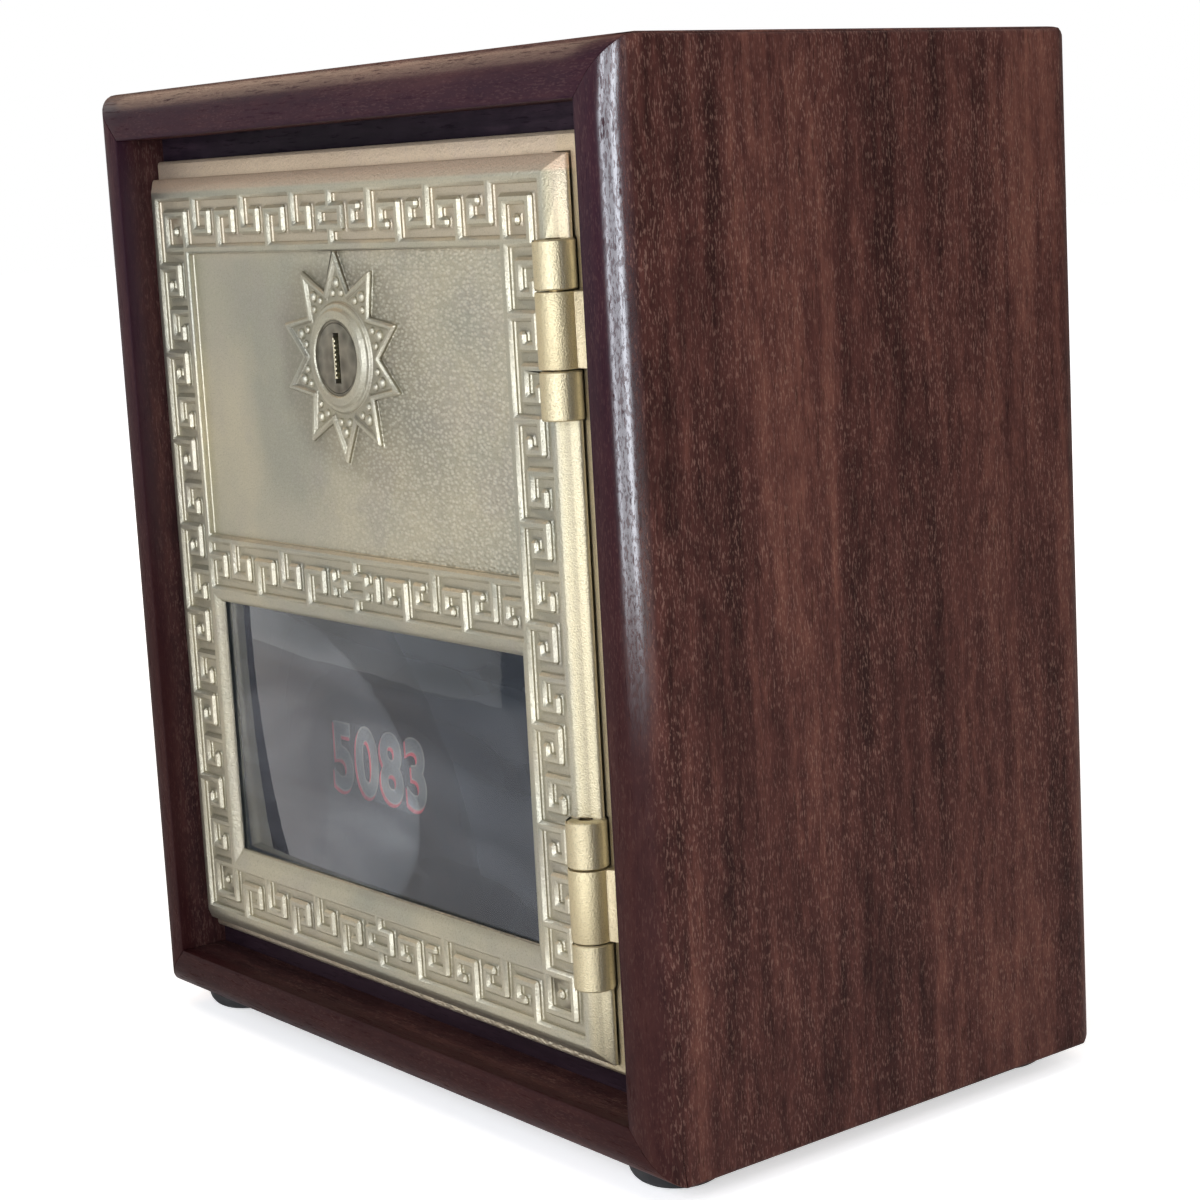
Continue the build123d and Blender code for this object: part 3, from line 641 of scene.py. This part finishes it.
# the three-part values mark the faces round the recess, which get painted shade
boardWoods = {"top": {"along": "X", "shift": (0.3, 0, 0), "inside": ("Z", 180.9, 180.3)},
              "bottom": {"along": "X", "shift": (0.9, 0.4, 0), "inside": ("Z", 12.2, 12.9)},
              "left": {"along": "Z", "shift": (0, 0.7, 0.2), "inside": ("X", -74.8, -74.2)},
              "right": {"along": "Z", "shift": (0.15, 0, 0.5), "inside": ("X", 74.8, 74.2),
                        "lacquer": (0.035, 0.95)}}


def roundedPrism(name, low, high, axis, radius, steps):  # the edges that run along one axis are rounded
    prism = addBlock(name, low, high)
    editEdges(prism, lambda a, b: abs(a[axis] - b[axis]) > 1)
    bevelChosen(radius, steps)
    return prism


def addLines(piece, pairs):  # cut lines in pairs, which keep an edge's shading near that edge
    for axis, centre, reach in pairs:
        for way in (-1, 1):
            point, normal = [0, 0, 0], [0, 0, 0]
            point[axis], normal[axis] = centre + way * reach, 1
            cutPlane(piece, point, normal)


def makeHull(sizes):  # the four boards in one
    half, low, high, line = sizes["half"], sizes["low"], sizes["high"], sizes["caseLine"]
    front, back, board, over = sizes["front"], sizes["back"], sizes["board"], sizes["over"]
    corners = (-half, front, low), (half, back, high)
    hull = roundedPrism("case_hull", *corners, 1, sizes["cornerRound"], sizes["cornerSteps"])
    for axis in (0, 2):
        rounding = roundedPrism("rounding", *corners, axis, sizes["round"], sizes["roundSteps"])
        carve(hull, rounding, "INTERSECT")
    carve(hull, addBlock("tunnel_cutter", (board - half, front - over, low + board),
                         (half - board, back + over, high - board)))
    addLines(hull, ((0, 0, half - line), (1, (front + back) / 2, (back - front) / 2 - line),
                    (2, (low + high) / 2, (high - low) / 2 - line)))
    return hull


def cutBoards(hull, sizes):  # a mitre is a point in x and z, and the way from it that is kept
    board, seam = sizes["board"], sizes["seam"]
    inner, ground, ceiling = sizes["half"] - board, sizes["low"] + board, sizes["high"] - board
    middle = (sizes["front"] + sizes["back"]) / 2
    mitres = {"top": (((inner, ceiling), (-1, 1)), ((-inner, ceiling), (1, 1))),
              "bottom": (((inner, ground), (-1, -1)), ((-inner, ground), (1, -1))),
              "left": (((-inner, ceiling), (-1, -1)), ((-inner, ground), (-1, 1))),
              "right": (((inner, ceiling), (1, -1)), ((inner, ground), (1, 1)))}
    boards = {}
    for side, planes in mitres.items():
        boards[side] = duplicate(hull, side + "_walnut_board")
        for (x, z), (right, up) in planes:
            cutPlane(boards[side], (x + right * seam, middle, z + up * seam), (right, 0, up), dropBehind=True)
    bpy.data.objects.remove(hull, do_unlink=True)
    return boards


def cutCoinSlot(board, sizes):
    long, wide = sizes["slotLength"] / 2, sizes["slotWidth"] / 2
    line, over = sizes["slotLine"], sizes["over"]
    addLines(board, ((0, 0, long + line), (1, 0, wide + line)))
    cutter = addBlock("slot_cutter", (-long, -wide, sizes["high"] - sizes["board"] - over),
                      (long, wide, sizes["high"] + over))
    editEdges(cutter, lambda a, b: abs(a.z - b.z) > sizes["board"])
    bevelChosen(wide - 0.05, sizes["slotSteps"])
    carve(board, cutter)


def makeBoards(sizes, woods):
    boards = cutBoards(makeHull(sizes), sizes)
    cutCoinSlot(boards["top"], sizes)
    for side, piece in boards.items():
        softenEdges(piece, sizes["easing"], 2, 40)
        smooth(piece, 30)
        finish(piece, "box", walnut("walnut_" + side, **woods[side]), (side + "_board",))


makeBoards(caseSizes, boardWoods)
print("walnut case")

feet = {"radius": 8.5, "height": 3.6, "dome": 3.3, "domeSteps": 7,
        "at": {"front_left_foot": (-70.2, -39.7), "front_right_foot": (70.2, -39.7),
               "rear_left_foot": (-70.2, 39.7), "rear_right_foot": (70.2, 39.7)}}


def makeFeet(values):
    for node, (x, y) in values["at"].items():
        foot = addRound(node + "_dome", (x, y, values["height"] / 2), values["radius"], values["height"])
        editEdges(foot, lambda a, b: a.z < 0.1 and b.z < 0.1)
        bevelChosen(values["dome"], values["domeSteps"])
        smooth(foot, 40)
        finish(foot, "box", black, (node,))


makeFeet(feet)
print("feet")

# the panel gets painted shade low down
darkWood = walnut("panel_wood", "X", (0.5, 0.2, 0.7), dark=(0.007, 0.0042, 0.0075),
                  mid=(0.015, 0.0092, 0.0145), warm=(0.034, 0.0205, 0.029), lacquer=(0.0, 0.0),
                  frontShade=0.0, flecks=0.0, inside=("Z", 70, 30))
backWood = walnut("back_wood", "Z", (0.2, 0.9, 0.1), dark=(0.040, 0.017, 0.012), mid=(0.090, 0.040, 0.027),
                  warm=(0.15, 0.072, 0.045), lacquer=(0.05, 0.05), frontShade=0.0)
for node, wood in (("front_panel", darkWood), ("back_panel", backWood), ("top_cleat", darkWood),
                   ("bottom_cleat", darkWood)):
    finish(copyNode(node, node + "_wood", 0.25), "box", wood, (node,))
print("panels")


# brass door unit

starPellets = {"centre": (-6.25, 137.87), "floor": -46.95, "points": 10, "flat": 0.7, "cutAt": 0.1,
               "rows": ((13.7, 0.0, 1.10), (11.9, 6.8, 0.80), (11.9, -6.8, 0.80))}  # reach, lean, radius
castEdges = {"left": -70.86, "right": 58.36, "top": 169.5, "bottom": 21.6,  # the door's face
             "border": (1.2, 11.3), "middle": (89.0, 102.2), "star": (9.5, 21), "relief": -46.5,
             "bevel": 0.52,  # mm; the rest are shares of it
             "fret": 1.0, "finer": 0.7, "foot": 0.4, "plain": 0.45, "plainFoot": 0.3}


def castShare(middle, convex):  # the fret's edges slope, the star is finer
    x, z = middle.x, middle.z
    inward = min(x - castEdges["left"], castEdges["right"] - x, castEdges["top"] - z, z - castEdges["bottom"])
    fret = castEdges["border"][0] < inward < castEdges["border"][1]
    fret = fret or (inward > 0 and castEdges["middle"][0] < z < castEdges["middle"][1])
    reach = math.hypot(x - starPellets["centre"][0], z - starPellets["centre"][1])
    star = castEdges["star"][0] < reach < castEdges["star"][1]
    if (fret or star) and middle.y < castEdges["relief"]:
        kind = ("fret" if fret else "finer") if convex else "foot"
    else:
        kind = "plain" if convex else "plainFoot"
    return castEdges[kind]


finish(copyNode("door_frame", "frame_casting", 0.22), "box", flangeBrass, ("door_frame",))
finish(copyNode("door_casting", "door_face_casting", castEdges["bevel"], 1, 30, castShare), "door",
       doorBrass, ("door_casting",))
for node in ("upper_hinge_pin", "lower_hinge_pin"):
    finish(copyNode(node, node + "_rod", 0.2), "box", pinBrass, (node,))
finish(copyNode("glass_retainer", "glass_retainer_strip", 0.12), "door", stripBrass,
       ("glass_retainer",))
finish(copyNode("window_glass", "window_pane_glass", 0.15), "door", pane, ("window_glass",))
print("brass door and frame")


def makePellet(values, angle, reach, radius):
    x = values["centre"][0] + reach * math.sin(angle)
    z = values["centre"][1] + reach * math.cos(angle)
    bpy.ops.mesh.primitive_uv_sphere_add(segments=14, ring_count=8, radius=radius * mm,
                                         location=(x * mm, values["floor"] * mm, z * mm),
                                         rotation=(math.pi / 2, 0, 0), scale=(1, 1, values["flat"]))
    pellet = bpy.context.object
    settle(pellet)
    cutPlane(pellet, (0, values["floor"] + values["cutAt"], 0), (0, -1, 0), dropBehind=True)
    return pellet


def makePellets(values):
    pellets = []
    for point in range(values["points"]):
        for reach, lean, radius in values["rows"]:
            angle = math.radians(360 / values["points"] * point + lean)
            pellets.append(makePellet(values, angle, reach, radius))
    whole = joinAll("star_pellets", pellets)
    smooth(whole, 50)
    finish(whole, "door", doorBrass)


makePellets(starPellets)
print("star")


# number on the back of the glass

numberValues = {"text": "5083", "width": 31.6, "height": 14.3, "centre": (-6.25, 61.3), "bold": 0.018,
                "spacing": 1.08, "curveSteps": 6, "extrude": 0.0004, "thin": 0.02,
                "margin": 1.2, "growth": 40,  # mm kept free in all, mm added for each unit of grow
                "layers": (  # name, y, offset in x and z, grow, paint
                    ("bronze_face", -43.885, (0.0, 0.0), 0.0, bronze),
                    ("gilt_edge", -43.865, (0.0, 0.0), 0.016, giltLine),
                    ("red_side", -43.84, (-0.50, -0.62), 0.020, redShade))}


def makeLayer(values, name, y, offset, grow, coat):
    bpy.ops.object.text_add()
    text = bpy.context.object
    text.data.body = values["text"]
    text.data.offset = values["bold"] + grow
    text.data.extrude = values["extrude"]
    text.data.resolution_u = values["curveSteps"]
    text.data.space_character = values["spacing"]
    bpy.ops.object.convert(target="MESH")
    layer = bpy.context.object
    layer.name = name
    corners = [Vector(corner) for corner in layer.bound_box]
    low = [min(c[i] for c in corners) for i in range(2)]
    high = [max(c[i] for c in corners) for i in range(2)]
    size = values["width"], values["height"]
    scale = [(size[i] - values["margin"] + grow * values["growth"]) / (high[i] - low[i]) for i in range(2)]
    place = [values["centre"][i] + offset[i] - (low[i] + high[i]) / 2 * scale[i] for i in range(2)]
    layer.rotation_euler = (math.pi / 2, 0, 0)
    layer.scale = (scale[0] * mm, scale[1] * mm, values["thin"])
    layer.location = (place[0] * mm, y * mm, place[1] * mm)
    settle(layer)
    coatWith(layer, coat)
    return layer


def makeNumber(values):
    whole = joinAll("gilt_number", [makeLayer(values, *layer) for layer in values["layers"]])
    finish(whole, "door", None, ("number_transfer",))


makeNumber(numberValues)
print("number")


# lock

for node, width, body, slot, metal in (("lock_shell", 0.12, "door", "lock_metal", shellMetal),
                                       ("lock_plug", 0.10, "plug", "lock_metal", plugMetal),
                                       ("lock_wafers", 0.08, "plug", "wafer_brass", waferBrass),
                                       ("plug_cam", 0.15, "plug", "steel", zinc),
                                       ("cam_screw", 0.10, "plug", "steel", zinc),
                                       ("lock_bolt", 0.20, "bolt", "steel", darkSteel),
                                       ("lock_case", 0.20, "door", "steel", zinc)):
    finish(copyNode(node, node + "_metal", width), body, metal, (node,))

keyStrip = {"left": -7.22, "thick": 0.22, "front": -48.0, "deep": 2.4, "low": 134.1, "high": 141.6,
            "teeth": 9, "tooth": 0.42, "easing": 0.05}


def makeKeyStrip(values):  # toothed strip on the keyway's wall
    strip = addBlock("keyway_strip", (values["left"], values["front"], values["low"]),
                     (values["left"] + values["thick"], values["front"] + values["deep"], values["high"]))
    pitch = (values["high"] - values["low"]) / (2 * values["teeth"])
    for step in range(1, 2 * values["teeth"]):
        cutPlane(strip, (0, 0, values["low"] + step * pitch), (0, 0, 1))
    editFaces(strip, lambda centre, normal: normal.x > 0.9
              and int((centre.z - values["low"]) / pitch) % 2 == 0)
    extrudeChosen(values["tooth"], 0, 0)
    softenEdges(strip, values["easing"], 1, 60)
    smooth(strip)
    finish(strip, "plug", waferBrass)


makeKeyStrip(keyStrip)
print("lock")

screwShape = {"sides": 32, "domeSteps": 4, "over": 1, "turnStep": 47,
              "dome": 0.45, "slotFloor": 0.45, "slotHalf": 0.11}  # shares of the cap's height and radius
screwRows = {
    "back_screws": {"body": "box", "y": 52.0, "radius": 3.2, "cap": 0.9, "shank": 1.45, "length": 12.0,
                    "turn": 20, "at": ((-45.0, 175.6), (45.0, 175.6), (-45.0, 17.6), (45.0, 17.6))},
    "frame_screws": {"body": "box", "y": -36.6, "radius": 3.4, "cap": 1.8, "shank": 1.2, "length": 3.5,
                     "turn": 55, "at": ((-44.875, 172.6), (38.125, 172.6), (-44.875, 20.0), (38.125, 20.0))},
    "case_screws": {"body": "door", "y": -41.1, "radius": 1.9, "cap": 1.1, "shank": 0.95, "length": 4.0,
                    "turn": 30, "at": ((-27.25, 137.87), (14.75, 137.87))},
    "retainer_screws": {"body": "door", "y": -42.9, "radius": 1.9, "cap": 1.1, "shank": 0.95, "length": 2.5,
                        "turn": 75, "at": ((-60.27, 62.37), (47.77, 62.37))}}


def makeScrew(name, x, z, values, turn):
    cap, radius, y, over = values["cap"], values["radius"], values["y"], screwShape["over"]
    screw = addRound(name, (x, y + cap / 2, z), radius, cap, True, screwShape["sides"])
    editEdges(screw, lambda a, b: a.y > y + cap - 0.01 and b.y > y + cap - 0.01)
    bevelChosen(cap * screwShape["dome"], screwShape["domeSteps"])
    editFaces(screw, lambda centre, normal: normal.y < -0.99)
    bpy.ops.mesh.inset(thickness=(radius - values["shank"]) * mm)
    extrudeChosen(0, -values["length"], 0)
    slotHalf, slotFloor = radius * screwShape["slotHalf"], y + cap * screwShape["slotFloor"]
    cutter = addBlock("slot_cutter", (x - radius - over, slotFloor, z - slotHalf),
                      (x + radius + over, y + cap + over, z + slotHalf))
    editMode(cutter)
    bpy.ops.transform.rotate(value=math.radians(turn), orient_axis="Y",
                             center_override=(x * mm, y * mm, z * mm))
    objectMode()
    carve(screw, cutter)
    smooth(screw)
    return screw


def makeScrews(rows):
    for node, values in rows.items():
        screws = [makeScrew(node + "_one", x, z, values, values["turn"] + screwShape["turnStep"] * index)
                  for index, (x, z) in enumerate(values["at"])]
        finish(joinAll(node + "_slotted", screws), values["body"], zinc, (node,))


makeScrews(screwRows)
print("screws")
